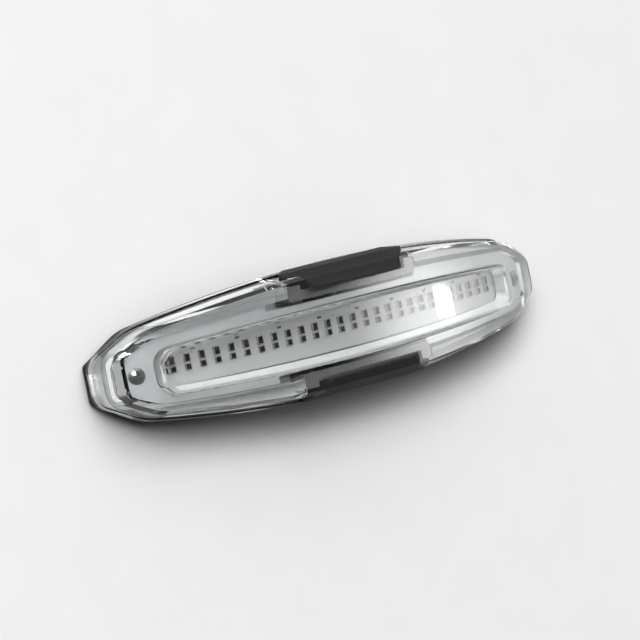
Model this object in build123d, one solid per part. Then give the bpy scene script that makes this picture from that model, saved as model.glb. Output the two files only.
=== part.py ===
from build123d import *
import os
from math import asin, degrees, hypot, radians, sqrt, tan

# Rear light for a helmet: a long clear lens, bent along its length over a curved strip of lamps,
# closed by a black rear shell, with a black press pad in the middle of each long side.
# X runs along the light, Y across it and Z outwards, away from the helmet.
# While the pieces are made, height zero is the top of the lamps in the middle of the light.
# At the end everything is lifted, so that the light stands on the two ends of its rear shell.

# Lamp strip
lamp_arc_radius = 174.0
lamp_count = 27
lamp_pitch = 4.0
lamp_row_gap = 2.25
lamp_row_offset = 0.4
lamp_height = 0.7
lamp_bevel = 0.12
upper_lamp_length = 1.65
upper_lamp_width = 2.15
lower_lamp_length = 1.6
lower_lamp_width = 1.6
board_thickness = 0.8
board_end_margin = 1.0
resistor_length = 1.0
resistor_width = 0.55
resistor_height = 0.35
resistor_y = 3.5
resistor_step = 3
board_gap = 0.3

# Side wall, measured on the front rim of the lens
rim_height = 5.1
rim_end = 69.7
rim_end_half_width = 4.45
rim_shoulder = 60.0
rim_shoulder_half_width = 10.2
rim_middle_half_width = 15.2
end_round = 2.6
shoulder_round = 14.0
corner_along = 0.4
corner_across = 0.9
lens_draft = 9.0
shell_draft = 5.0

# Lens
face_height = 5.7
rim_bevel = 0.8
face_thickness = 1.3
cavity_end_half_width = 4.6
cavity_end_wall = 4.7
cavity_shoulder_setback = 2.2
cavity_shoulder_wall = 1.9
cavity_side_wall = 4.5
skirt_height = 1.7
skirt_ledge = 0.45
window_rise = 1.5
window_end_margin = 1.2
window_end_half_width = 5.4
window_middle_half_width = 7.2
window_offset = -0.7
window_corner = 3.6
window_edge_round = 1.3
window_draft = 12.0

# Joint between lens and shell, and the back of the light
joint_middle_depth = 3.6
joint_radius = 224.0
back_middle_depth = 10.5
back_radius = 369.0
shell_floor = 1.8
shell_wall = 1.8
shell_ledge = 1.7
shell_edge_round = 0.6
joint_gap = 0.12
seal_inset = 0.55
seal_thickness = 0.8

# Reflector plate, with a trough that goes down to the lamp strip
plate_gap = 1.3
plate_thickness = 0.8
plate_edge_gap = 0.3
plate_rim_foot = -1.2
plate_relief = 6.0
trough_draft = 24.0
trough_wall = 0.7
trough_end_margin = 0.8
trough_end_half_width = 4.5
trough_middle_half_width = 5.5
trough_offset = -0.4
trough_corner = 2.2
seat_gap = 0.1

# Screws
plate_screw_inset = 3.2
plate_head_diameter = 4.2
plate_head_height = 1.1
plate_dome_radius = 3.4
plate_shank_diameter = 2.2
plate_shank_length = 4.6
case_screw_x = 46.0
case_screw_y = 5.0
case_head_diameter = 3.8
case_head_height = 0.8
case_shank_diameter = 2.0
case_shank_length = 2.6
case_head_sink = 0.1
cross_slot_length = 2.4
cross_slot_width = 0.55
cross_slot_depth = 0.7
screw_play = 0.05

# Inner frame that carries the strip and the plate
frame_thickness = 1.0
frame_end_cover = 0.2
frame_edge_gap = 0.5
frame_rail_width = 1.0
frame_rail_height = 0.6
frame_post_diameter = 4.8
case_boss_diameter = 4.4

# Press pads, each a rubber skin on a carrier that slides in the lens
press_travel = 0.6
pad_top_half_length = 13.2
pad_tip_half_length = 20.2
pad_foot_half_length = 16.2
pad_top = 6.9
pad_tip = 1.4
pad_foot = -2.3
pad_clearance = 0.3
pad_corner = 0.8
pad_foot_half_width = 16.9
pad_waist_half_width = 16.2
pad_waist = 1.4
pad_crease_half_width = 13.9
pad_crease = 5.2
pad_nose_half_width = 11.7
pad_spare_angle = 2
carrier_half_length = 20.4
carrier_inner = 9.1
carrier_outer = 12.9
carrier_wall = 1.0
carrier_top_gap = 0.3
carrier_foot = -2.0
carrier_open_foot = 1.0
carrier_corner = 0.8
carrier_rib_count = 8
carrier_rib_width = 0.8
pocket_gap = 0.35
pocket_corner = 1.0
leg_half_width = 2.4
leg_thickness = 1.6
leg_foot = -7.0

# Main board with the two switches
main_board_left = -5.5
main_board_right = 36.0
main_board_half_width = 8.4
main_board_thickness = 1.0
main_board_top = -7.3
main_board_corner = 1.5
support_diameter = 3.0
support_inset = 2.2
switch_length = 4.6
switch_depth = 3.2
switch_height = 2.4
switch_setback = 0.5
switch_bevel = 0.3
plunger_width = 1.8
plunger_height = 1.2
plunger_level = 1.2
plunger_play = 0.1
controller_x = 15.0
controller_y = 1.5
controller_size = 5.0
controller_height = 0.9
coil_x = 12.5
coil_y = -5.0
coil_size = 4.2
coil_height = 1.7
plug_x = 5.5
plug_y = 2.4
plug_length = 3.4
plug_width = 4.6
plug_height = 1.8

# Flat cable from the main board up to the lamp strip
cable_x = 26.0
cable_width = 5.0
cable_thickness = 0.25
cable_run = 5.0
cable_bend = 0.8
cable_straight = 2.4
cable_socket_length = 3.0
cable_socket_height = 1.2
cable_socket_margin = 1.0
cable_slot_margin = 1.2

# Battery
battery_length = 29.0
battery_width = 19.0
battery_thickness = 2.8
battery_x = -24.5
battery_tilt = 4.6
battery_rise = 0.55
battery_corner = 1.2
battery_edge_round = 0.5
foam_inset = 1.5
battery_tab_length = 1.4
battery_tab_width = 8.0
fence_thickness = 1.0
fence_width = 12.0
fence_height = 1.6
fence_gap = 0.4
lead_diameter = 0.9
lead_spacing = 2.0
lead_level = 1.0
lead_bend = 1.2

# Flat seat on the back, with magnets and charging contacts
seat_length = 36.0
seat_width = 16.0
seat_rise = 1.1
seat_corner = 3.0
magnet_diameter = 8.0
magnet_thickness = 1.5
magnet_x = 12.0
contact_diameter = 2.4
contact_height = 1.8
contact_pin_diameter = 1.2
contact_x = 4.0

# Room for the blocks that the pieces are cut from, and how exactly an edge is found
reach = 90.0
deep = -18.0
high = 9.0
trough_foot = -12.0
on_surface = 0.02

# Sizes that follow from the ones above
board_half_length = lamp_count * lamp_pitch / 2 + board_end_margin
trough_half_length = board_half_length + trough_end_margin
window_half_length = trough_half_length + window_end_margin
cavity_end = rim_end - cavity_end_wall
cavity_shoulder = rim_shoulder - cavity_shoulder_setback
cavity_shoulder_half_width = rim_shoulder_half_width - cavity_shoulder_wall
cavity_middle_half_width = rim_middle_half_width - cavity_side_wall
plate_screw_x = cavity_end - plate_screw_inset
frame_half_length = plate_screw_x + frame_end_cover
ceiling = face_height - face_thickness
plate_top = ceiling - plate_gap
plate_foot = plate_top - plate_thickness
rim_outline = (
    rim_end,
    rim_end_half_width,
    rim_shoulder,
    rim_shoulder_half_width,
    rim_middle_half_width,
)
cavity_outline = (
    cavity_end,
    cavity_end_half_width,
    cavity_shoulder,
    cavity_shoulder_half_width,
    cavity_middle_half_width,
)
board_top = -lamp_height
board_foot = board_top - board_thickness
floor_depth = back_middle_depth - shell_floor
carrier_top = ceiling - carrier_top_gap
pocket_inner = carrier_inner - press_travel - pocket_gap
pocket_half_length = carrier_half_length + pocket_gap


def level_on_arc(x, apex, radius):
    """Height at x of an arc along the light that has its highest point in the middle."""
    return apex - radius + sqrt(radius**2 - x**2)


def lamp_level(x, height):
    """Height at x of a surface that lies this far above the lamps."""
    return level_on_arc(x, height, lamp_arc_radius + height)


def joint_level(x):
    return level_on_arc(x, -joint_middle_depth, joint_radius)


def back_level(x):
    return level_on_arc(x, -back_middle_depth, back_radius)


def floor_level(x):
    """Height at x of the inside of the rear shell."""
    return level_on_arc(x, -floor_depth, back_radius)


def slope(draft):
    return tan(radians(draft))


def below_arc(apex, radius):
    """Everything near the light that is below an arc along it."""
    return Pos(0, 0, apex - radius) * Rot(90, 0, 0) * Cylinder(radius, 2 * reach)


def below_joint():
    return below_arc(-joint_middle_depth, joint_radius)


def below_floor():
    return below_arc(-floor_depth, back_radius)


def below_layer(height):
    return below_arc(height, lamp_arc_radius + height)


def layer(low, top):
    """Layer between two heights above the lamps, bent with the lamp strip."""
    return below_layer(top) - below_layer(low)


def edges_on_arc(body, apex, radius):
    """Edges of a body that lie on an arc surface along the light."""
    def off_arc(edge):
        middle = edge @ 0.5
        return abs(hypot(middle.X, middle.Z - apex + radius) - radius)
    return [edge for edge in body.edges() if off_arc(edge) < on_surface]


def wall_plan(outline, spread):
    """Eight-sided plan of a side wall, where spread(x) is how far the wall has moved out at x."""
    end, end_half_width, side, side_half_width, middle_half_width = outline
    tip = spread(end)
    shoulder = spread(side)
    end_x = end + tip
    end_y = end_half_width + tip * corner_along
    side_x = side + shoulder * corner_along
    side_y = side_half_width + shoulder * corner_across
    middle_y = middle_half_width + spread(0)
    edge = ThreePointArc((-side_x, side_y), (0, middle_y), (side_x, side_y))
    edge += Polyline((side_x, side_y), (end_x, end_y), (end_x, -end_y), (side_x, -side_y))
    edge += ThreePointArc((side_x, -side_y), (0, -middle_y), (-side_x, -side_y))
    edge += Polyline((-side_x, -side_y), (-end_x, -end_y), (-end_x, end_y), (-side_x, side_y))
    plan = make_face(edge)
    plan = fillet([v for v in plan.vertices() if abs(v.X) > (end_x + side_x) / 2], end_round)
    return fillet([v for v in plan.vertices() if abs(abs(v.X) - side_x) < on_surface], shoulder_round)


def bowed_bar(half_length, end_half_width, middle_half_width, corner):
    """Long bar in plan with gently bowed sides and round corners."""
    corner_x = half_length
    corner_y = end_half_width
    edge = ThreePointArc((-corner_x, corner_y), (0, middle_half_width), (corner_x, corner_y))
    edge += Line((corner_x, corner_y), (corner_x, -corner_y))
    edge += ThreePointArc((corner_x, -corner_y), (0, -middle_half_width), (-corner_x, -corner_y))
    edge += Line((-corner_x, -corner_y), (-corner_x, corner_y))
    bar = make_face(edge)
    return fillet(bar.vertices(), corner)


def drawn(plan, draft):
    """Block with this plan at height zero, which narrows upwards with the draft."""
    foot = offset(plan, amount=-deep * slope(draft))
    return Pos(0, 0, deep) * extrude(foot, amount=high - deep, taper=draft)


def drawn_down(plan, draft, foot):
    """Block with this plan at height zero, which narrows downwards to its foot with the draft."""
    top = offset(plan, amount=high * slope(draft))
    return Pos(0, 0, high) * extrude(top, amount=foot - high, taper=draft)


def upright(plan):
    return Pos(0, 0, deep) * extrude(plan, amount=high - deep)


def pillar(x, y, diameter):
    return upright(Pos(x, y) * Circle(diameter / 2))


def rounded_block(length, width, height, corner):
    return extrude(RectangleRounded(length, width, corner), amount=height)


def lens_spread(x):
    """How much wider the lens wall is at height zero than on the rim."""
    return lamp_level(x, rim_height) * slope(lens_draft)


def skirt_spread(x):
    return lens_spread(x) + skirt_ledge


def cavity_spread(x):
    """How much wider the hollow of the lens is at height zero than at the reflector plate."""
    return lamp_level(x, plate_top) * slope(lens_draft)


def shell_spread(x):
    """The same for the shell wall, which is widest at the joint and draws in below it."""
    at_joint = (lamp_level(x, rim_height) - joint_level(x)) * slope(lens_draft) + skirt_ledge
    return at_joint - joint_level(x) * slope(shell_draft)


def lens_block(inset):
    """Wall of the lens, filled in, with its faces moved in by the inset."""
    plan = wall_plan(rim_outline, lens_spread)
    if inset:
        plan = offset(plan, amount=-inset)
    return drawn(plan, lens_draft)


def cavity_block(inset):
    """Hollow of the lens, filled in, with its faces moved in by the inset."""
    plan = wall_plan(cavity_outline, cavity_spread)
    if inset:
        plan = offset(plan, amount=-inset)
    return drawn(plan, lens_draft)


def shell_block(inset):
    """Wall of the rear shell, filled in, with its faces moved in by the inset."""
    plan = wall_plan(rim_outline, shell_spread)
    if inset:
        plan = offset(plan, amount=-inset)
    return drawn_down(plan, shell_draft, deep)


def trough_block(outset):
    """Filled trough, which narrows down to the strip, or its outside with an outset."""
    end_fall = -lamp_level(trough_half_length, board_top) * slope(trough_draft)
    middle_fall = -board_top * slope(trough_draft)
    plan = bowed_bar(
        trough_half_length + end_fall,
        trough_end_half_width + end_fall,
        trough_middle_half_width + middle_fall,
        trough_corner + end_fall,
    )
    if outset:
        plan = offset(plan, amount=outset)
    return drawn_down(Pos(0, trough_offset) * plan, trough_draft, trough_foot)


def pad_elevation():
    """Six-sided outline of a press pad as seen from the side, bent with the lamp strip."""
    foot = (pad_foot_half_length, lamp_level(pad_foot_half_length, pad_foot))
    tip = (pad_tip_half_length, lamp_level(pad_tip_half_length, pad_tip))
    top = (pad_top_half_length, lamp_level(pad_top_half_length, pad_top))
    outline = Polyline((-foot[0], foot[1]), (-tip[0], tip[1]), (-top[0], top[1]))
    outline += ThreePointArc((-top[0], top[1]), (0, pad_top), top)
    outline += Polyline(top, tip, foot)
    outline += ThreePointArc(foot, (0, pad_foot), (-foot[0], foot[1]))
    face = make_face(outline)
    return fillet(face.vertices(), pad_corner)


def out_to_side(outline, inner, outer):
    """Block with this outline in the XZ plane, between two distances out along Y."""
    return extrude(Plane.XZ.offset(-outer) * outline, amount=outer - inner)


def pad_pocket():
    """Room that the upper pad and its carrier need in the lens, with their travel."""
    nose_inner = pad_nose_half_width - press_travel - pad_clearance
    opening = out_to_side(offset(pad_elevation(), amount=pad_clearance), nose_inner, reach)
    outer = carrier_outer + pocket_gap
    chamber_plan = Pos(0, (pocket_inner + outer) / 2) * RectangleRounded(
        2 * pocket_half_length, outer - pocket_inner, pocket_corner
    )
    chamber = upright(chamber_plan) & below_layer(ceiling)
    return opening + chamber


def raised_window():
    """Thicker bar of lens over the lamps, proud of the face."""
    top = face_height + window_rise
    end_fall = lamp_level(window_half_length, top) * slope(window_draft)
    plan = bowed_bar(
        window_half_length + end_fall,
        window_end_half_width + end_fall,
        window_middle_half_width + top * slope(window_draft),
        window_corner,
    )
    bar = drawn(Pos(0, window_offset) * plan, window_draft) & layer(ceiling, top)
    return fillet(edges_on_arc(bar, top, lamp_arc_radius + top), window_edge_round)


def lens_cover():
    body = lens_block(0) & (below_layer(face_height) - below_joint())
    body = chamfer(edges_on_arc(body, face_height, lamp_arc_radius + face_height), rim_bevel)
    above_joint = below_arc(skirt_height - joint_middle_depth, joint_radius + skirt_height) - below_joint()
    skirt = drawn(wall_plan(rim_outline, skirt_spread), lens_draft) & above_joint
    body = body + skirt + raised_window()
    body -= cavity_block(0) & below_layer(ceiling)
    body -= pad_pocket()
    body -= pad_pocket().mirror(Plane.XZ)
    return body


def seal_ring():
    """Flat ring on the ledge of the shell, pressed by the whole foot of the lens."""
    below_seal = below_arc(-joint_middle_depth - seal_thickness, joint_radius - seal_thickness)
    return (lens_block(seal_inset) - cavity_block(0)) & (below_joint() - below_seal)


def case_screw_places():
    return [(x, y) for x in (-case_screw_x, case_screw_x) for y in (-case_screw_y, case_screw_y)]


def case_head_foot():
    """Height of the outer face of a case screw, sunk clear of the curved back."""
    return back_level(case_screw_x - case_head_diameter / 2) + case_head_sink


def main_board_supports():
    """Short posts of the shell under the corners of the main board."""
    foot = main_board_top - main_board_thickness
    places = [
        (x, y)
        for x in (main_board_left + support_inset, main_board_right - support_inset)
        for y in (support_inset - main_board_half_width, main_board_half_width - support_inset)
    ]
    block = Pos(0, 0, foot - reach / 2) * Box(2 * reach, 2 * reach, reach)
    posts = [pillar(x, y, support_diameter) & block for x, y in places]
    return [post - below_arc(-floor_depth - shell_floor / 2, back_radius) for post in posts]


def battery_fences():
    """Low walls of the shell at the two ends of the battery, rooted in its floor."""
    reach_x = battery_length / 2 + fence_gap + fence_thickness / 2
    root = shell_floor / 2
    fences = []
    for x in (battery_x - reach_x, battery_x + reach_x + battery_tab_length):
        middle = floor_level(x) + (fence_height - root) / 2
        fences.append(Pos(x, 0, middle) * Box(fence_thickness, fence_width, fence_height + root))
    return fences


def rear_shell():
    top = joint_middle_depth + joint_gap
    below_top = below_arc(-top, joint_radius - joint_gap)
    body = shell_block(0) & (below_top - below_arc(-back_middle_depth, back_radius))
    body = fillet(edges_on_arc(body, -back_middle_depth, back_radius), shell_edge_round)
    body -= shell_block(shell_wall) - below_floor()
    ledge = below_top - below_arc(-top - shell_ledge, joint_radius - joint_gap - shell_ledge)
    body += (shell_block(shell_wall / 2) - cavity_block(0)) & ledge
    seat = Pos(0, 0, -back_middle_depth - seat_rise) * rounded_block(
        seat_length, seat_width, seat_rise + shell_floor / 2, seat_corner
    )
    body += seat
    for piece in main_board_supports() + battery_fences():
        body += piece
    body -= seal_ring()
    for x in (-magnet_x, magnet_x):
        body -= magnet(x)
    for x in (-contact_x, contact_x):
        body -= contact(x)
    for x, y in case_screw_places():
        body -= pillar(x, y, case_shank_diameter + 2 * screw_play)
        head_room = Pos(x, y, case_head_foot() + case_head_height)
        body -= head_room * Cylinder(
            case_head_diameter / 2 + screw_play, reach, align=(Align.CENTER, Align.CENTER, Align.MAX)
        )
    return body


def plate():
    """Bright plate over the frame, with the sloping walls of its trough."""
    inside_lens = cavity_block(plate_edge_gap)
    body = inside_lens & layer(plate_foot, plate_top)
    rim = inside_lens - cavity_block(plate_edge_gap + plate_thickness)
    body += rim & layer(plate_rim_foot, plate_top)
    notch_length = 2 * pocket_half_length + plate_relief
    notch_plan = Rectangle(notch_length, 2 * reach) - Rectangle(notch_length, 2 * pocket_inner)
    body -= upright(Pos(-plate_relief / 2, 0) * notch_plan)
    body += trough_block(trough_wall) & inside_lens & layer(board_top + board_gap / 2, plate_top)
    body -= trough_block(0)
    for x in (-plate_screw_x, plate_screw_x):
        body -= plate_screw_place(x) * Cylinder(plate_shank_diameter / 2 + screw_play, plate_shank_length)
    return body


def strip_plan(outset):
    """Plan of the lamp strip, which fills the foot of the trough."""
    plan = bowed_bar(
        board_half_length,
        trough_end_half_width - board_gap,
        trough_middle_half_width - board_gap,
        trough_corner,
    )
    if outset:
        plan = offset(plan, amount=outset)
    return Pos(0, trough_offset) * plan


def lamp_board():
    return upright(strip_plan(0)) & layer(board_foot, board_top)


def plate_screw_place(x):
    """Place of a plate screw on the plate, with its Z square to the plate."""
    radius = lamp_arc_radius + plate_top
    return Pos(0, 0, -lamp_arc_radius) * Rot(0, degrees(asin(x / radius)), 0) * Pos(0, 0, radius)


def lamp_place(index):
    """Place of a lamp column on the arc, with its Z square to the strip."""
    angle = (index - (lamp_count - 1) / 2) * lamp_pitch / lamp_arc_radius
    return Pos(0, 0, -lamp_arc_radius) * Rot(0, degrees(angle), 0) * Pos(0, 0, lamp_arc_radius)


def lamp_row(length, width, y):
    """Lamps in a row, each with a bevelled top edge."""
    lamp = Pos(0, y, -lamp_height / 2) * Box(length, width, lamp_height)
    lamp = chamfer(lamp.faces().sort_by(Axis.Z)[-1].edges(), lamp_bevel)
    return Compound(children=[lamp_place(i) * lamp for i in range(lamp_count)])


def frame():
    """Carrier for the strip, with a post under each plate screw and bosses for the case screws."""
    deck_top = board_foot
    deck_foot = deck_top - frame_thickness
    plan = Rectangle(2 * frame_half_length, 2 * reach)
    plan -= Rectangle(2 * pocket_half_length, 2 * reach) - Rectangle(3 * pocket_half_length, 2 * pocket_inner)
    body = cavity_block(frame_edge_gap) & upright(plan) & layer(deck_foot, deck_top)
    rail = upright(strip_plan(board_gap + frame_rail_width)) - upright(strip_plan(board_gap))
    body += rail & layer(deck_top - frame_thickness / 2, deck_top + frame_rail_height)
    for x in (-plate_screw_x, plate_screw_x):
        post = Cylinder(frame_post_diameter / 2, -deep, align=(Align.CENTER, Align.CENTER, Align.MAX))
        body += plate_screw_place(x) * Pos(0, 0, -plate_thickness - seat_gap) * post
    for x, y in case_screw_places():
        body += pillar(x, y, case_boss_diameter) & below_layer(deck_top)
    body -= below_arc(seat_gap - floor_depth, back_radius)
    body -= Pos(cable_x, 0) * upright(
        Rectangle(cable_run + 2 * cable_slot_margin, cable_width + 2 * cable_slot_margin)
    )
    for x in (-plate_screw_x, plate_screw_x):
        hole = Cylinder(plate_shank_diameter / 2 + screw_play, 2 * (plate_shank_length + seat_gap))
        body -= plate_screw_place(x) * hole
    for x, y in case_screw_places():
        tip = case_head_foot() + case_head_height + case_shank_length + seat_gap
        hole = Pos(x, y, tip) * Cylinder(
            case_shank_diameter / 2 + screw_play, reach, align=(Align.CENTER, Align.CENTER, Align.MAX)
        )
        body -= hole
    return body


def cross_slot(top):
    """Recess for a cross driver, open at this height."""
    arm = Box(cross_slot_length, cross_slot_width, cross_slot_depth)
    return Pos(0, 0, top - cross_slot_depth / 2) * (arm + Rot(0, 0, 90) * arm)


def plate_screw(x):
    """Domed cross-head screw that holds the plate."""
    head = Cylinder(plate_head_diameter / 2, plate_head_height, align=(Align.CENTER, Align.CENTER, Align.MIN))
    head &= Pos(0, 0, plate_head_height - plate_dome_radius) * Sphere(plate_dome_radius)
    shank = Cylinder(
        plate_shank_diameter / 2, plate_shank_length, align=(Align.CENTER, Align.CENTER, Align.MAX)
    )
    screw = head + shank - cross_slot(plate_head_height)
    return plate_screw_place(x) * screw


def case_screw(x, y):
    """Flat cross-head screw from the back into the frame."""
    head = Cylinder(case_head_diameter / 2, case_head_height, align=(Align.CENTER, Align.CENTER, Align.MIN))
    shank = Pos(0, 0, case_head_height) * Cylinder(
        case_shank_diameter / 2, case_shank_length, align=(Align.CENTER, Align.CENTER, Align.MIN)
    )
    screw = head + shank - cross_slot(cross_slot_depth)
    return Pos(x, y, case_head_foot()) * screw


def magnet(x):
    return Pos(x, 0, -back_middle_depth - seat_rise) * Cylinder(
        magnet_diameter / 2, magnet_thickness, align=(Align.CENTER, Align.CENTER, Align.MIN)
    )


def contact(x):
    """Charging contact, flush with the seat, whose pin reaches the main board."""
    foot = -back_middle_depth - seat_rise
    top = main_board_top - main_board_thickness
    button = Pos(x, 0, foot) * Cylinder(
        contact_diameter / 2, contact_height, align=(Align.CENTER, Align.CENTER, Align.MIN)
    )
    pin = Pos(x, 0, foot) * Cylinder(
        contact_pin_diameter / 2, top - foot, align=(Align.CENTER, Align.CENTER, Align.MIN)
    )
    return button + pin


def pad_skin():
    """Rubber skin of the upper pad: a sloping face, and a nose that laps into the face of the lens."""
    section = Polyline(
        (carrier_outer, pad_foot),
        (pad_foot_half_width, pad_foot),
        (pad_waist_half_width, pad_waist),
        (pad_crease_half_width, pad_crease),
        (pad_nose_half_width, pad_top),
        (pad_nose_half_width, carrier_top),
        (carrier_outer, carrier_top),
        (carrier_outer, pad_foot),
    )
    centre = Axis((0, 0, -lamp_arc_radius), (0, 1, 0))
    half_turn = degrees(pad_tip_half_length / lamp_arc_radius) + pad_spare_angle
    bar = revolve(Plane.YZ * make_face(section), axis=centre, revolution_arc=2 * half_turn)
    bar = Pos(0, 0, -lamp_arc_radius) * Rot(0, -half_turn, 0) * Pos(0, 0, lamp_arc_radius) * bar
    return bar & out_to_side(pad_elevation(), carrier_inner, reach)


def pad_carrier():
    """Ribbed slide behind the upper pad, with a leg down to the switch."""
    depth = carrier_outer - carrier_inner
    middle = (carrier_inner + carrier_outer) / 2
    plan = Pos(0, middle) * RectangleRounded(2 * carrier_half_length, depth, carrier_corner)
    body = upright(plan) & layer(carrier_foot, carrier_top)
    room_plan = Pos(0, middle - carrier_wall) * Rectangle(2 * (carrier_half_length - carrier_wall), depth)
    body -= upright(room_plan) & layer(carrier_foot - carrier_open_foot, carrier_top - carrier_wall)
    spacing = 2 * carrier_half_length / (carrier_rib_count + 1)
    for index in range(carrier_rib_count):
        x = (index - (carrier_rib_count - 1) / 2) * spacing
        rib = Pos(x, middle) * Rectangle(carrier_rib_width, depth)
        body += upright(rib) & layer(carrier_foot, carrier_top)
    leg_plan = Pos(0, carrier_inner + leg_thickness / 2) * Rectangle(2 * leg_half_width, leg_thickness)
    leg = upright(leg_plan) & below_layer(carrier_top)
    leg -= Pos(0, 0, leg_foot - reach / 2) * Box(reach, reach, reach)
    return body + leg


def on_main_board(x, y, length, width, height):
    """Block that stands on the main board."""
    return Pos(x, y, main_board_top + height / 2) * Box(length, width, height)


def main_board():
    length = main_board_right - main_board_left
    middle = (main_board_left + main_board_right) / 2
    board = rounded_block(length, 2 * main_board_half_width, main_board_thickness, main_board_corner)
    return Pos(middle, 0, main_board_top - main_board_thickness) * board


def switch_face():
    """Distance from the middle to the front of a switch."""
    return main_board_half_width - switch_setback


def plunger_block(length, play):
    level = main_board_top + plunger_level
    middle = switch_face() - length / 2
    return Pos(0, middle, level) * Box(plunger_width + 2 * play, length, plunger_height + 2 * play)


def switch():
    """Side-pressed switch under the upper pad."""
    housing = on_main_board(0, switch_face() - switch_depth / 2, switch_length, switch_depth, switch_height)
    housing = chamfer(housing.faces().sort_by(Axis.Z)[-1].edges(), switch_bevel)
    return housing - plunger_block(2 * press_travel + 2 * plunger_play, plunger_play)


def plunger():
    """Plunger of the upper switch, which rests against the leg of the carrier."""
    reach_out = carrier_inner - switch_face()
    return Pos(0, reach_out, 0) * plunger_block(reach_out + press_travel, 0)


def battery_place():
    return Pos(battery_x, 0, floor_level(battery_x) + battery_rise) * Rot(0, -battery_tilt, 0)


def battery():
    cell = rounded_block(battery_length, battery_width, battery_thickness, battery_corner)
    cell = fillet(cell.faces().sort_by(Axis.Z)[-1].edges(), battery_edge_round)
    return battery_place() * cell


def battery_foam():
    """Soft pad between the battery and the curved floor."""
    block = Pos(0, 0, -shell_floor) * rounded_block(
        battery_length - 2 * foam_inset, battery_width - 2 * foam_inset, shell_floor, battery_corner
    )
    return battery_place() * block - below_floor()


def battery_tab():
    """Protection board on the end of the battery, where the leads start."""
    tab = Box(battery_tab_length, battery_tab_width, battery_thickness / 2)
    return battery_place() * Pos(battery_length / 2 + battery_tab_length / 2, 0, battery_thickness / 2) * tab


def battery_lead(side):
    """One lead from the tab of the battery to its plug."""
    start = battery_place() * Pos(battery_length / 2 + battery_tab_length, 0, battery_thickness / 2)
    start_x = start.position.X
    start_z = start.position.Z
    end_x = plug_x - plug_length / 2
    end_z = main_board_top + lead_level
    y = side * lead_spacing / 2
    third = (end_x - start_x) / 3
    route = FilletPolyline(
        (start_x, y, start_z),
        (start_x + third, y, start_z),
        (end_x - third, plug_y + y, end_z),
        (end_x, plug_y + y, end_z),
        radius=lead_bend,
    )
    section = Plane(route @ 0, z_dir=route % 0) * Circle(lead_diameter / 2)
    return sweep(section, path=route)


def flat_cable():
    """Flat cable that leaves its socket, rises through the frame and lies under the lamp strip."""
    half = cable_thickness / 2
    low = main_board_top + cable_socket_height / 2
    left = cable_x - cable_run / 2 + cable_bend
    right = cable_x + cable_run / 2
    route = FilletPolyline(
        (left - cable_straight, 0, low),
        (left, 0, low),
        (left, 0, lamp_level(left, board_foot) - half),
        (right, 0, lamp_level(right, board_foot) - half),
        radius=cable_bend,
    )
    section = Plane(route @ 0, x_dir=(0, 1, 0), z_dir=route % 0) * Rectangle(cable_width, cable_thickness)
    return sweep(section, path=route)


def cable_socket():
    end = cable_x - cable_run / 2 - 2 * cable_bend
    middle = end - cable_socket_length / 2
    width = cable_width + 2 * cable_socket_margin
    return on_main_board(middle, 0, cable_socket_length, width, cable_socket_height)


def strip_resistors():
    """Small resistors along the upper edge of the lamp strip, between the lamp columns."""
    block = Box(resistor_length, resistor_width, resistor_height)
    block = Pos(0, resistor_y, board_top + resistor_height / 2) * block
    places = range(1, lamp_count - 1, resistor_step)
    return Compound(children=[lamp_place(index + 0.5) * block for index in places])


def group(pieces):
    return Compound(children=list(pieces))


def all_pieces():
    """Every piece of the light by its name."""
    row_step = lamp_row_gap / 2
    top = {
        "pad": pad_skin(),
        "pad_carrier": pad_carrier(),
        "switch": switch(),
        "switch_plunger": plunger(),
    }
    pieces = {
        "lens_cover": lens_cover(),
        "rear_shell": rear_shell(),
        "perimeter_seal": seal_ring(),
        "reflector_plate": plate(),
        "inner_frame": frame(),
        "lamp_strip": lamp_board(),
        "upper_lamps": lamp_row(upper_lamp_length, upper_lamp_width, lamp_row_offset + row_step),
        "lower_lamps": lamp_row(lower_lamp_length, lower_lamp_width, lamp_row_offset - row_step),
        "strip_resistors": strip_resistors(),
        "plate_screws": group(plate_screw(x) for x in (-plate_screw_x, plate_screw_x)),
        "case_screws": group(case_screw(x, y) for x, y in case_screw_places()),
        "main_board": main_board(),
        "controller_chip": on_main_board(
            controller_x, controller_y, controller_size, controller_size, controller_height
        ),
        "power_coil": on_main_board(coil_x, coil_y, coil_size, coil_size, coil_height),
        "battery_socket": on_main_board(plug_x, plug_y, plug_length, plug_width, plug_height),
        "cable_socket": cable_socket(),
        "lamp_cable": flat_cable(),
        "battery": battery(),
        "battery_foam": battery_foam(),
        "battery_tab": battery_tab(),
        "battery_leads": group(battery_lead(side) for side in (-1, 1)),
        "mount_magnets": group(magnet(x) for x in (-magnet_x, magnet_x)),
        "charge_contacts": group(contact(x) for x in (-contact_x, contact_x)),
    }
    for name, piece in top.items():
        pieces[f"top_{name}"] = piece
        pieces[f"bottom_{name}"] = piece.mirror(Plane.XZ)
    return pieces


os.makedirs("parts", exist_ok=True)
pieces = all_pieces()
lift = Pos(0, 0, -pieces["rear_shell"].bounding_box().min.Z)
for name, piece in pieces.items():
    export_step(lift * piece, f"parts/{name}.step")
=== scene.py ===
from math import radians, sqrt

import bpy
from mathutils import Matrix, Vector

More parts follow.
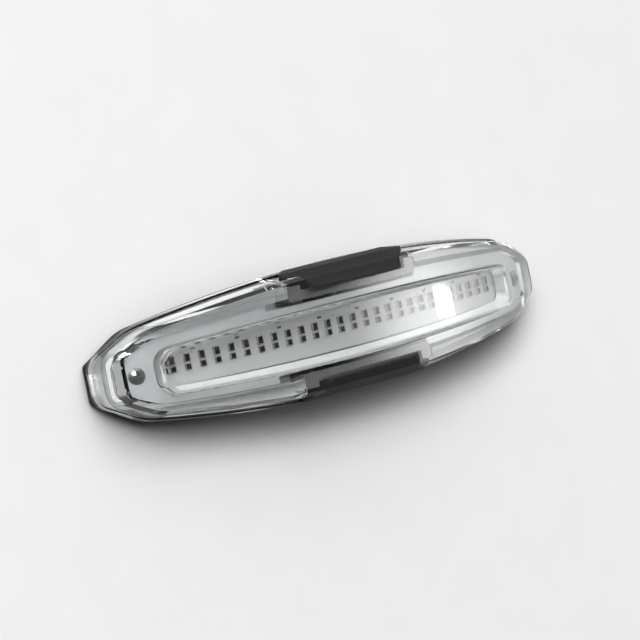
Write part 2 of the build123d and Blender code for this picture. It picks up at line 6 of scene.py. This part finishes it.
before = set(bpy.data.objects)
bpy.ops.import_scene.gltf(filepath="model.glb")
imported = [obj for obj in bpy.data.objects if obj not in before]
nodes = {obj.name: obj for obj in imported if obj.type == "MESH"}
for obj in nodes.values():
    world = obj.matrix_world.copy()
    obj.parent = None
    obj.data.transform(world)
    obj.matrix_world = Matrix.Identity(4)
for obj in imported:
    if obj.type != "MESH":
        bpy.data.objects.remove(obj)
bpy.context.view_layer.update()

# Camera, worked out from the lamps, the rim and the pads in the photograph.
# Distances are in millimetres from the top of the lamps in the middle of the light.
photo_width = 640
lamp_top_height = 17.362
camera_turn = radians(37)
camera_tilt = radians(4.0)
camera_roll = radians(11.44)
camera_right = 8.14
camera_up = -0.77
camera_distance = 732.4
pixels_per_mm = 3.95
sensor_width = 36.0

# Sizes of the light that the lamps and materials follow, in metres
lamp_arc_radius = 0.174
arc_middle_height = lamp_top_height / 1000 - lamp_arc_radius
lamp_pitch = 0.004
window_radius = 0.1812
lens_face_radius = 0.17985
window_reach = 0.0095
seal_air_gap = 0.00015
light_middle = Vector((0, 0, 0.012))

# Lamps: the pale package, the colours of the dark windows by where each starts in a draw
# from 0 to 1, and the painted shade that darkens the upper part of a window
lamp_package = (0.25, 0.25, 0.245, 1)
window_colours = {
    0.0: (0.016, 0.010, 0.006, 1),
    0.3: (0.024, 0.018, 0.007, 1),
    0.55: (0.022, 0.013, 0.008, 1),
    0.8: (0.036, 0.016, 0.010, 1),
}
window_painted_shade = (0.006, 0.005, 0.005, 1)
window_painted_shade_share = 0.75

# Finishes that more than one place uses
lens_tint = (0.97, 0.98, 0.98)
lens_roughness = 0.02
silver = (0.43, 0.45, 0.455)
silver_roughness = 0.38
floor_colour = (0.93, 0.93, 0.935)
worn_edge = (0.25, 0.25, 0.25, 1)

# World: its colours, and where in a direction of length 1 each edge starts and is complete
backdrop_colour = (0.98, 0.985, 0.99, 1)
low_sky = (0.45, 0.455, 0.455, 1)
high_sky = (0.06, 0.061, 0.062, 1)
low_sky_top = (0.4, 0.2)
low_backdrop_turn = (0.55, 0.83)
low_backdrop_side = (-0.05, 0.3)
low_backdrop_top = (0.6, 0.25)
high_backdrop_side = (0.25, 0.5)
high_backdrop_top = (0.9, 0.7)

# Floor, in metres, and the direction in which its painted shadow looks for things close above it
floor_size = 6.0
floor_drop = 0.0002
painted_shadow_look = Vector((-0.25, 0.7, 0.6)).normalized()

# Sockets of a Mix node that belong to colours, among those for numbers and vectors
colour_mix_inputs = (0, 6, 7)
colour_mix_output = 2

# Key light, high up at the far left
key_direction = Vector((-0.55, 0.5, 0.9)).normalized()
key_distance = 3.0


def to_camera_axes():
    """Turns the axes of the light into those of the camera."""
    turn = Matrix.Rotation(camera_turn, 3, "Y")
    tilt = Matrix.Rotation(camera_tilt, 3, "X")
    roll = Matrix.Rotation(camera_roll, 3, "Z")
    return roll @ tilt @ turn


def camera_place():
    """Place of the camera in metres."""
    in_camera_axes = Vector((-camera_right, -camera_up, camera_distance))
    place = to_camera_axes().transposed() @ in_camera_axes
    place.z += lamp_top_height
    return place / 1000


def make_camera():
    """Camera of the photograph."""
    data = bpy.data.cameras.new("camera")
    data.sensor_width = sensor_width
    data.lens = pixels_per_mm * camera_distance * sensor_width / photo_width
    data.clip_start = 0.05
    data.clip_end = 20
    camera = bpy.data.objects.new("camera", data)
    bpy.context.scene.collection.objects.link(camera)
    turned = to_camera_axes().transposed().to_4x4()
    camera.matrix_world = Matrix.Translation(camera_place()) @ turned
    bpy.context.scene.camera = camera


def seen_in_window(along, distance):
    """Place that the camera sees mirrored in the curved window, this far along the light."""
    centre = Vector((0, 0, arc_middle_height))
    outwards = Vector((along, 0, sqrt(window_radius**2 - along**2))).normalized()
    point = centre + outwards * window_radius
    to_camera = (camera_place() - point).normalized()
    mirrored = 2 * to_camera.dot(outwards) * outwards - to_camera
    return point + mirrored * distance


class Shader:
    """A material with one Principled shader, and short calls for the nodes that feed it."""

    def __init__(self, name, colour, roughness, metallic=0.0):
        self.material = bpy.data.materials.new(name)
        self.material.use_nodes = True
        self.tree = self.material.node_tree
        self.shader = self.tree.nodes["Principled BSDF"]
        self.surface = None
        self.specks = None
        self.set("Base Color", (*colour, 1))
        self.set("Roughness", roughness)
        self.set("Metallic", metallic)

    def set(self, socket, value):
        self.shader.inputs[socket].default_value = value

    def feed(self, socket, output):
        self.tree.links.new(output, self.shader.inputs[socket])

    def group(self, group, **values):
        made = self.tree.nodes.new("ShaderNodeGroup")
        made.node_tree = group
        for key, value in values.items():
            made.inputs[key.replace("_", " ").capitalize()].default_value = value
        return made


def plug(tree, socket, value):
    """Gives a socket a plain value, or links it to the output of another node."""
    if isinstance(value, bpy.types.NodeSocket):
        tree.links.new(value, socket)
    else:
        socket.default_value = value


def maths(tree, operation, *values):
    """Output of a Math node that works on these numbers or outputs."""
    made = tree.nodes.new("ShaderNodeMath")
    made.operation = operation
    for socket, value in zip(made.inputs, values):
        plug(tree, socket, value)
    return made.outputs[0]


def ramp_between(tree, value, low, high, start=0, end=1, curve="SMOOTHSTEP"):
    """Step from the start to the end, while the value goes from low to high."""
    made = tree.nodes.new("ShaderNodeMapRange")
    made.interpolation_type = curve
    for socket, given in (
        ("Value", value), ("From Min", low), ("From Max", high), ("To Min", start), ("To Max", end)
    ):
        plug(tree, made.inputs[socket], given)
    return made.outputs["Result"]


def blend(tree, share, first, second, kind="MIX"):
    """Colour between two colours, by the share of the second, or another kind of mix."""
    made = tree.nodes.new("ShaderNodeMix")
    made.data_type = "RGBA"
    made.blend_type = kind
    for index, value in zip(colour_mix_inputs, (share, first, second)):
        plug(tree, made.inputs[index], value)
    return made.outputs[colour_mix_output]


def coordinates(tree, kind):
    """One kind of texture coordinates, such as Object or Normal."""
    return tree.nodes.new("ShaderNodeTexCoord").outputs[kind]


def axes(tree, vector):
    """The x, y and z of a vector."""
    parts = tree.nodes.new("ShaderNodeSeparateXYZ")
    tree.links.new(vector, parts.inputs[0])
    return [parts.outputs[axis] for axis in "XYZ"]


def noise(tree, place, scale, detail):
    """Cloudy value from 0 to 1 that changes with the place."""
    made = tree.nodes.new("ShaderNodeTexNoise")
    for socket, value in (("Vector", place), ("Scale", scale), ("Detail", detail)):
        plug(tree, made.inputs[socket], value)
    return made.outputs["Fac"]


def new_group(name, inputs, outputs):
    """Node group, with its inputs and their usual values, and its outputs and their kinds."""
    tree = bpy.data.node_groups.new(name, "ShaderNodeTree")
    for label, value in inputs.items():
        kind = "NodeSocketColor" if isinstance(value, tuple) else "NodeSocketFloat"
        socket = tree.interface.new_socket(label, in_out="INPUT", socket_type=kind)
        socket.default_value = value
    for label, kind in outputs.items():
        tree.interface.new_socket(label, in_out="OUTPUT", socket_type=f"NodeSocket{kind}")
    given = tree.nodes.new("NodeGroupInput").outputs
    out = tree.nodes.new("NodeGroupOutput").inputs
    return tree, given, out


def make_surface_group():
    """Moulded surface: cloudy changes of tone and roughness, and a fine grain in the normal."""
    tree, given, out = new_group(
        "moulded_surface",
        {
            "Colour": (0.5, 0.5, 0.5, 1), "Roughness": 0.4,
            "Grain size": 3000.0, "Grain depth": 0.1,
            "Cloud size": 60.0, "Cloud amount": 0.1, "Wear": 0.2,
        },
        {"Colour": "Color", "Roughness": "Float", "Normal": "Vector"},
    )
    cloud_low, cloud_high = 0.3, 0.7
    edge_low, edge_high = 0.52, 0.62
    grain_height = 0.0001
    place = coordinates(tree, "Object")
    cloud = noise(tree, place, given["Cloud size"], detail=5)
    grain = noise(tree, place, given["Grain size"], detail=3)

    swing = ramp_between(
        tree, cloud, cloud_low, cloud_high, start=-1, end=1, curve="LINEAR"
    )
    tone = maths(tree, "ADD", maths(tree, "MULTIPLY", swing, given["Cloud amount"]), 1)
    shade = tree.nodes.new("ShaderNodeVectorMath")
    shade.operation = "SCALE"
    plug(tree, shade.inputs[0], given["Colour"])
    plug(tree, shade.inputs["Scale"], tone)

    sharpness = tree.nodes.new("ShaderNodeNewGeometry").outputs["Pointiness"]
    edge = ramp_between(tree, sharpness, edge_low, edge_high, curve="LINEAR")
    worn = maths(tree, "MULTIPLY", edge, given["Wear"])
    plug(tree, out["Colour"], blend(tree, worn, shade.outputs[0], worn_edge, "ADD"))

    rough = maths(tree, "MULTIPLY", given["Roughness"], tone)
    rough.node.use_clamp = True
    plug(tree, out["Roughness"], rough)

    bump = tree.nodes.new("ShaderNodeBump")
    plug(tree, bump.inputs["Distance"], grain_height)
    plug(tree, bump.inputs["Strength"], given["Grain depth"])
    plug(tree, bump.inputs["Height"], grain)
    plug(tree, out["Normal"], bump.outputs["Normal"])
    return tree


def make_soft_edge_group():
    """Mask that is one in the middle of a rectangle and fades out to its edges."""
    tree, given, out = new_group(
        "soft_edge", {"Half width": 0.5, "Half depth": 0.5, "Fade": 0.5}, {"Mask": "Float"}
    )
    x, y, _ = axes(tree, coordinates(tree, "Object"))
    fade_start = maths(tree, "SUBTRACT", 1, given["Fade"])
    masks = []
    for off_middle, half in ((x, given["Half width"]), (y, given["Half depth"])):
        share = maths(tree, "DIVIDE", maths(tree, "ABSOLUTE", off_middle), half)
        masks.append(ramp_between(tree, share, fade_start, 1, start=1, end=0))
    plug(tree, out["Mask"], maths(tree, "MULTIPLY", *masks))
    return tree


def make_lamp_group():
    """Colour of the lamps: a dark window in a pale package, a little different in each column,
    with a painted shade over the upper part of each window.
    """
    tree, given, out = new_group(
        "lamp_columns",
        {
            "Row": 0.0, "Middle": 0.0, "Half length": 0.0006, "Half width": 0.0008,
            "Package": (0.3, 0.3, 0.3, 1),
        },
        {"Colour": "Color"},
    )
    shade_low, shade_high = 0.1, 0.8
    x, y, _ = axes(tree, coordinates(tree, "Object"))
    angle = maths(tree, "ARCSINE", maths(tree, "DIVIDE", x, lamp_arc_radius))
    along = maths(tree, "MULTIPLY", angle, lamp_arc_radius / lamp_pitch)
    column = maths(tree, "ROUND", along)
    draw = tree.nodes.new("ShaderNodeTexWhiteNoise")
    draw.noise_dimensions = "1D"
    plug(tree, draw.inputs["W"], maths(tree, "ADD", column, given["Row"]))
    colours = tree.nodes.new("ShaderNodeValToRGB")
    colours.color_ramp.interpolation = "CONSTANT"
    stops = colours.color_ramp.elements
    stops.remove(stops[1])
    for start, colour in window_colours.items():
        stop = stops.new(start) if start else stops[0]
        stop.color = colour
    plug(tree, colours.inputs[0], draw.outputs["Value"])

    # Painted shade: the upper part of each window is darkened towards the shade colour
    across = maths(tree, "SUBTRACT", y, given["Middle"])
    height_share = maths(tree, "DIVIDE", across, given["Half width"])
    upper = ramp_between(tree, height_share, shade_low, shade_high)
    shaded = maths(tree, "MULTIPLY", upper, window_painted_shade_share)
    dark = blend(tree, shaded, colours.outputs[0], window_painted_shade)

    columns_off = maths(tree, "ABSOLUTE", maths(tree, "SUBTRACT", along, column))
    off_column = maths(tree, "MULTIPLY", columns_off, lamp_pitch)
    inside_length = maths(tree, "LESS_THAN", off_column, given["Half length"])
    off_row = maths(tree, "ABSOLUTE", across)
    inside_width = maths(tree, "LESS_THAN", off_row, given["Half width"])
    window = maths(tree, "MULTIPLY", inside_length, inside_width)
    plug(tree, out["Colour"], blend(tree, window, given["Package"], dark))
    return tree


def make_polish_group():
    """Roughness of the lens: polished, and a little duller on the upper slope of the window."""
    tree, given, out = new_group(
        "lens_polish", {"Polished": 0.02, "Window edge": 0.2}, {"Roughness": "Float"}
    )
    slope_low, slope_high = 0.03, 0.2
    x, y, z = axes(tree, coordinates(tree, "Object"))
    slope = axes(tree, coordinates(tree, "Normal"))[1]
    rise = maths(tree, "SUBTRACT", z, arc_middle_height)
    squares = [maths(tree, "POWER", side, 2) for side in (x, rise)]
    distance = maths(tree, "SQRT", maths(tree, "ADD", *squares))
    above_face = maths(tree, "GREATER_THAN", distance, lens_face_radius)
    near_window = maths(tree, "LESS_THAN", maths(tree, "ABSOLUTE", y), window_reach)
    tilted = ramp_between(tree, slope, slope_low, slope_high)
    on_window = maths(tree, "MULTIPLY", above_face, near_window)
    edge = maths(tree, "MULTIPLY", on_window, tilted)
    extra = maths(tree, "MULTIPLY", edge, given["Window edge"])
    plug(tree, out["Roughness"], maths(tree, "ADD", given["Polished"], extra))
    return tree


def make_lens_shade_group():
    """Shade that the lens throws: slight under its flats, and deep under its bevels and
    walls, which bend the light aside."""
    tree, given, out = new_group(
        "lens_shade", {"Flat shade": 0.3, "Steep shade": 0.9}, {"Shade": "Float"}
    )
    flat_limit, steep_limit = 0.9, 0.75
    facing_up = maths(tree, "ABSOLUTE", axes(tree, coordinates(tree, "Normal"))[2])
    steep = ramp_between(tree, facing_up, flat_limit, steep_limit)
    deeper = maths(tree, "SUBTRACT", given["Steep shade"], given["Flat shade"])
    plug(tree, out["Shade"], maths(tree, "MULTIPLY_ADD", deeper, steep, given["Flat shade"]))
    return tree


def make_polished_slope_group():
    """One colour and roughness on the flat of the reflector plate, and on the slopes of its
    trough a smoother polish and a brighter colour, which is a painted highlight."""
    tree, given, out = new_group(
        "polished_slopes_painted_highlight",
        {
            "Flat colour": (0.4, 0.4, 0.4, 1), "Slope colour": (0.8, 0.8, 0.8, 1),
            "Flat roughness": 0.4, "Slope roughness": 0.15,
        },
        {"Colour": "Color", "Roughness": "Float"},
    )
    flat_limit, slope_limit = 0.15, 0.6
    facing_aside = maths(tree, "ABSOLUTE", axes(tree, coordinates(tree, "Normal"))[1])
    slope = ramp_between(tree, facing_aside, flat_limit, slope_limit)
    # Painted highlight: the slopes take the brighter colour
    colour = blend(tree, slope, given["Flat colour"], given["Slope colour"])
    plug(tree, out["Colour"], colour)
    smoother = maths(tree, "SUBTRACT", given["Slope roughness"], given["Flat roughness"])
    rough = maths(tree, "MULTIPLY_ADD", smoother, slope, given["Flat roughness"])
    plug(tree, out["Roughness"], rough)
    return tree


def make_speck_group():
    """Small dark specks scattered thinly over a colour."""
    tree, given, out = new_group(
        "specks",
        {
            "Colour": (0.5, 0.5, 0.5, 1), "Speck colour": (0.05, 0.05, 0.05, 1),
            "Scale": 500.0, "Size": 0.12, "Share": 0.15,
        },
        {"Colour": "Color"},
    )
    cells = tree.nodes.new("ShaderNodeTexVoronoi")
    plug(tree, cells.inputs["Vector"], coordinates(tree, "Object"))
    plug(tree, cells.inputs["Scale"], given["Scale"])
    draw = tree.nodes.new("ShaderNodeSeparateColor")
    plug(tree, draw.inputs[0], cells.outputs["Color"])
    near = maths(tree, "LESS_THAN", cells.outputs["Distance"], given["Size"])
    chosen = maths(tree, "LESS_THAN", draw.outputs[0], given["Share"])
    mask = maths(tree, "MULTIPLY", near, chosen)
    plug(tree, out["Colour"], blend(tree, mask, given["Colour"], given["Speck colour"]))
    return tree


def make_painted_shadow_group():
    """Painted shadow: floor colour that deepens close to the foot of the object, away from the
    key light.
    """
    tree, given, out = new_group(
        "painted_contact_shadow",
        {"Colour": (0.9, 0.9, 0.9, 1), "Deepest": (0.1, 0.1, 0.1, 1), "Reach": 0.012},
        {"Colour": "Color"},
    )
    covered_limit, clear_limit = 0.3, 0.95
    looked = tree.nodes.new("ShaderNodeCombineXYZ")
    for socket, value in zip(looked.inputs, painted_shadow_look):
        plug(tree, socket, value)
    nearness = tree.nodes.new("ShaderNodeAmbientOcclusion")
    plug(tree, nearness.inputs["Normal"], looked.outputs[0])
    plug(tree, nearness.inputs["Distance"], given["Reach"])
    clear = ramp_between(tree, nearness.outputs["AO"], covered_limit, clear_limit)
    plug(tree, out["Colour"], blend(tree, clear, given["Deepest"], given["Colour"]))
    return tree


surface_group = make_surface_group()
lamp_group = make_lamp_group()
soft_edge_group = make_soft_edge_group()
polish_group = make_polish_group()
lens_shade_group = make_lens_shade_group()
lit_polished_slope_group = make_polished_slope_group()
speck_group = make_speck_group()
painted_shadow_group = make_painted_shadow_group()


def moulded(name, colour, roughness, metallic=0.0, specular=0.5, **values):
    """Opaque material with the moulded surface."""
    made = Shader(name, colour, roughness, metallic)
    made.set("Specular IOR Level", specular)
    made.surface = made.group(surface_group, colour=(*colour, 1), roughness=roughness, **values)
    made.feed("Base Color", made.surface.outputs["Colour"])
    made.feed("Roughness", made.surface.outputs["Roughness"])
    made.feed("Normal", made.surface.outputs["Normal"])
    return made


def lamp_resin(name, **places):
    """Lamps of one row, each a dark window in a pale package."""
    made = moulded(
        name, (0.03, 0.02, 0.012), 0.3, specular=0.25,
        cloud_size=900.0, cloud_amount=0.3, wear=0.0,
    )
    columns = made.group(lamp_group, package=lamp_package, **places)
    plug(made.tree, made.surface.inputs["Colour"], columns.outputs["Colour"])
    return made


def specked(name, colour, roughness, metallic, scale, size, share, **values):
    """Moulded surface with a few dark specks."""
    made = moulded(name, colour, roughness, metallic, **values)
    made.specks = made.group(
        speck_group, colour=(*colour, 1), scale=scale, size=size, share=share
    )
    plug(made.tree, made.surface.inputs["Colour"], made.specks.outputs["Colour"])
    return made


def polish_and_light_slopes(made, flat, flat_roughness, slope, slope_roughness):
    """Smoother slopes on a plate that already has its specks, with a brighter colour on them
    that is a painted highlight.
    """
    polish = made.group(
        lit_polished_slope_group, flat_colour=(*flat, 1), slope_colour=(*slope, 1),
        flat_roughness=flat_roughness, slope_roughness=slope_roughness,
    )
    plug(made.tree, made.specks.inputs["Colour"], polish.outputs["Colour"])
    plug(made.tree, made.surface.inputs["Roughness"], polish.outputs["Roughness"])


def clear_polycarbonate():
    """Clear lens, which lets a part of the light through to what lies in its shadow."""
    made = Shader("clear_polycarbonate", lens_tint, lens_roughness)
    made.set("Transmission Weight", 1.0)
    made.set("IOR", 1.58)
    surface = made.group(
        surface_group, colour=(*lens_tint, 1), grain_size=900.0, grain_depth=0.02,
        cloud_size=40.0, cloud_amount=0.02, wear=0.0,
    )
    made.feed("Base Color", surface.outputs["Colour"])
    made.feed("Normal", surface.outputs["Normal"])
    polish = made.group(polish_group, polished=lens_roughness, window_edge=0.22)
    made.feed("Roughness", polish.outputs["Roughness"])
    in_shadow = made.tree.nodes.new("ShaderNodeLightPath").outputs["Is Shadow Ray"]
    shade = made.group(lens_shade_group, flat_shade=0.34, steep_shade=0.95)
    let_through = maths(made.tree, "SUBTRACT", 1, shade.outputs["Shade"])
    passed = maths(made.tree, "MULTIPLY", in_shadow, let_through)
    made.feed("Alpha", maths(made.tree, "SUBTRACT", 1, passed))
    return made


def paint(node, made):
    """Gives a piece its material."""
    mesh = nodes[node].data
    mesh.materials.clear()
    mesh.materials.append(made.material)


black_plastic = moulded(
    "black_plastic", (0.007, 0.007, 0.008), 0.5, specular=0.15,
    grain_size=4000.0, grain_depth=0.25, wear=0.03,
)
pad_rubber = moulded(
    "pad_rubber", (0.010, 0.010, 0.011), 0.65, specular=0.2,
    grain_size=3500.0, grain_depth=0.3, wear=0.04,
)
silver_plastic = specked(
    "silver_plastic", silver, silver_roughness, 0.2,
    scale=220.0, size=0.05, share=0.3, grain_size=5000.0, grain_depth=0.1,
)
# The brighter slope colour is a painted highlight on the trough; the lower slope roughness is a
# polish
polish_and_light_slopes(
    silver_plastic, silver, silver_roughness, slope=(0.8, 0.82, 0.82), slope_roughness=0.15
)
white_lacquer = specked(
    "white_lacquer", (0.36, 0.37, 0.365), 0.35, 0.0,
    scale=700.0, size=0.12, share=0.12, grain_size=2500.0, grain_depth=0.05,
)
frame_plastic = moulded(
    "frame_plastic", (0.34, 0.35, 0.355), 0.5, grain_size=3500.0, grain_depth=0.2, wear=0.03
)
screw_steel = moulded(
    "screw_steel", (0.33, 0.33, 0.325), 0.27, 1.0, grain_size=2500.0, grain_depth=0.1
)
dark_steel = moulded(
    "dark_steel", (0.06, 0.06, 0.06), 0.35, 0.8, grain_size=2500.0, grain_depth=0.1
)
magnet_nickel = moulded(
    "magnet_nickel", (0.65, 0.64, 0.61), 0.22, 1.0, grain_size=1500.0, grain_depth=0.05
)
contact_gilt = moulded(
    "contact_gilt", (0.8, 0.58, 0.24), 0.25, 1.0, grain_size=1500.0, grain_depth=0.05
)
carrier_plastic = moulded(
    "carrier_plastic", (0.07, 0.07, 0.07), 0.45, grain_size=3000.0, grain_depth=0.15
)
board_lacquer = moulded("board_lacquer", (0.02, 0.13, 0.06), 0.3, cloud_size=200.0)
chip_plastic = moulded("chip_plastic", (0.025, 0.025, 0.025), 0.5)
cream_plastic = moulded("cream_plastic", (0.75, 0.72, 0.64), 0.4)
foil = moulded("foil", (0.66, 0.66, 0.64), 0.35, 0.7, grain_size=500.0, grain_depth=0.3)
foam = moulded("foam", (0.03, 0.03, 0.03), 0.9, grain_size=1500.0, grain_depth=0.8)
tape = moulded("tape", (0.5, 0.32, 0.06), 0.3)
red_sheath = moulded("red_sheath", (0.45, 0.03, 0.02), 0.35)
seal_rubber = moulded("seal_rubber", (0.55, 0.56, 0.56), 0.5)

upper_lamp_resin = lamp_resin(
    "upper_lamp_resin", row=0.0, middle=0.001525, half_length=0.00061, half_width=0.00087
)
lower_lamp_resin = lamp_resin(
    "lower_lamp_resin", row=0.5, middle=-0.000725, half_length=0.00061, half_width=0.00063
)

for node, made in {
    "lens_cover": clear_polycarbonate(), "rear_shell": black_plastic,
    "perimeter_seal": seal_rubber, "reflector_plate": silver_plastic,
    "inner_frame": frame_plastic, "lamp_strip": white_lacquer,
    "upper_lamps": upper_lamp_resin, "lower_lamps": lower_lamp_resin,
    "strip_resistors": chip_plastic, "plate_screws": screw_steel, "case_screws": dark_steel,
    "main_board": board_lacquer, "controller_chip": chip_plastic, "power_coil": chip_plastic,
    "battery_socket": cream_plastic, "cable_socket": cream_plastic, "lamp_cable": tape,
    "battery": foil, "battery_foam": foam, "battery_tab": tape, "battery_leads": red_sheath,
    "mount_magnets": magnet_nickel, "charge_contacts": contact_gilt,
    "top_pad": pad_rubber, "bottom_pad": pad_rubber,
    "top_pad_carrier": carrier_plastic, "bottom_pad_carrier": carrier_plastic,
    "top_switch": chip_plastic, "bottom_switch": chip_plastic,
    "top_switch_plunger": cream_plastic, "bottom_switch_plunger": cream_plastic,
}.items():
    paint(node, made)


def flat_sheet(name, width, depth):
    """Flat rectangle round its own middle."""
    x, y = width / 2, depth / 2
    mesh = bpy.data.meshes.new(name)
    mesh.from_pydata([(-x, -y, 0), (x, -y, 0), (x, y, 0), (-x, y, 0)], [], [(0, 1, 2, 3)])
    sheet = bpy.data.objects.new(name, mesh)
    bpy.context.scene.collection.objects.link(sheet)
    return sheet


def add_softbox(name, place, width, depth, brightness, fade, target=light_middle):
    """Softbox turned to its target. White paper in plain light has a brightness of 1, and
    the fade is the share of each half that fades out to the edge."""
    box = flat_sheet(name, width, depth)
    box.location = place
    box.rotation_mode = "QUATERNION"
    box.rotation_quaternion = (target - place).to_track_quat("Z", "Y")
    box.visible_camera = False
    box.visible_shadow = False
    made = Shader(name, (0, 0, 0), 1.0)
    edge = made.group(soft_edge_group, half_width=width / 2, half_depth=depth / 2, fade=fade)
    made.set("Specular IOR Level", 0.0)
    made.set("Emission Color", (1, 1, 1, 1))
    made.set("Emission Strength", brightness)
    made.feed("Alpha", edge.outputs["Mask"])
    box.data.materials.append(made.material)


def make_lights():
    """Key light, the glare and the pale haze in the window, and cards that edge the lens."""
    add_softbox(
        "key_softbox", light_middle + key_direction * key_distance,
        width=1.7, depth=1.7, brightness=11.6, fade=0.3,
    )
    add_softbox(
        "glare_lamp", seen_in_window(along=0.0275, distance=1.2),
        width=0.022, depth=0.09, brightness=18, fade=0.3,
    )
    add_softbox(
        "haze_softbox", seen_in_window(along=0.021, distance=1.3),
        width=0.24, depth=1.1, brightness=4.4, fade=1.0,
    )
    add_softbox(
        "right_card", light_middle + Vector((1.3, 0.1, 0.35)),
        width=0.5, depth=0.6, brightness=1.5, fade=0.6,
    )
    add_softbox(
        "left_card", light_middle + Vector((-1.1, 0.3, 0.5)),
        width=0.5, depth=0.15, brightness=1.0, fade=0.4,
    )
    add_softbox(
        "front_card", Vector((0.5, -0.75, 0.75)),
        width=1.5, depth=0.1, brightness=0.8, fade=0.4, target=Vector((0.5, 0, 0)),
    )


def make_world():
    """Studio that is half bright low down and dim above, with two pale backdrops: a low one
    behind the light and to its right, and a higher one behind it."""
    world = bpy.data.worlds.new("studio")
    world.use_nodes = True
    bpy.context.scene.world = world
    tree = world.node_tree
    x, y, z = axes(tree, coordinates(tree, "Generated"))
    right_share, behind_share = low_backdrop_turn
    behind = maths(tree, "MULTIPLY", y, behind_share)
    sideways = maths(tree, "MULTIPLY_ADD", x, right_share, behind)
    low = maths(
        tree, "MULTIPLY",
        ramp_between(tree, sideways, *low_backdrop_side),
        ramp_between(tree, z, *low_backdrop_top),
    )
    high = maths(
        tree, "MULTIPLY",
        ramp_between(tree, y, *high_backdrop_side),
        ramp_between(tree, z, *high_backdrop_top),
    )
    backdrop = maths(tree, "MAXIMUM", low, high)
    sky = blend(tree, ramp_between(tree, z, *low_sky_top), high_sky, low_sky)
    shade = blend(tree, backdrop, sky, backdrop_colour)
    plug(tree, tree.nodes["Background"].inputs["Color"], shade)


def lower_seal():
    """Thin layer of air between the seal and the foot of the lens, as dry parts have."""
    gap = nodes["perimeter_seal"].modifiers.new("air gap", "DISPLACE")
    gap.direction = "Z"
    gap.mid_level = 0
    gap.strength = -seal_air_gap


def make_floor():
    """Pale floor that keeps the shadow of the light, deepened close to the object by a painted
    shadow.
    """
    floor = flat_sheet("floor", floor_size, floor_size)
    floor.location.z = -floor_drop
    made = moulded(
        "floor_paint", floor_colour, 0.8,
        grain_size=40.0, grain_depth=0.0, cloud_amount=0.01, wear=0.0,
    )
    # Painted shadow: the floor colour darkens towards the deepest colour close under the object
    contact = made.group(
        painted_shadow_group, colour=(*floor_colour, 1), deepest=(0.10, 0.10, 0.10, 1), reach=0.018
    )
    plug(made.tree, made.surface.inputs["Colour"], contact.outputs["Colour"])
    floor.data.materials.append(made.material)


lower_seal()
make_camera()
make_lights()
make_world()
make_floor()
bpy.context.scene.view_settings.view_transform = "Standard"
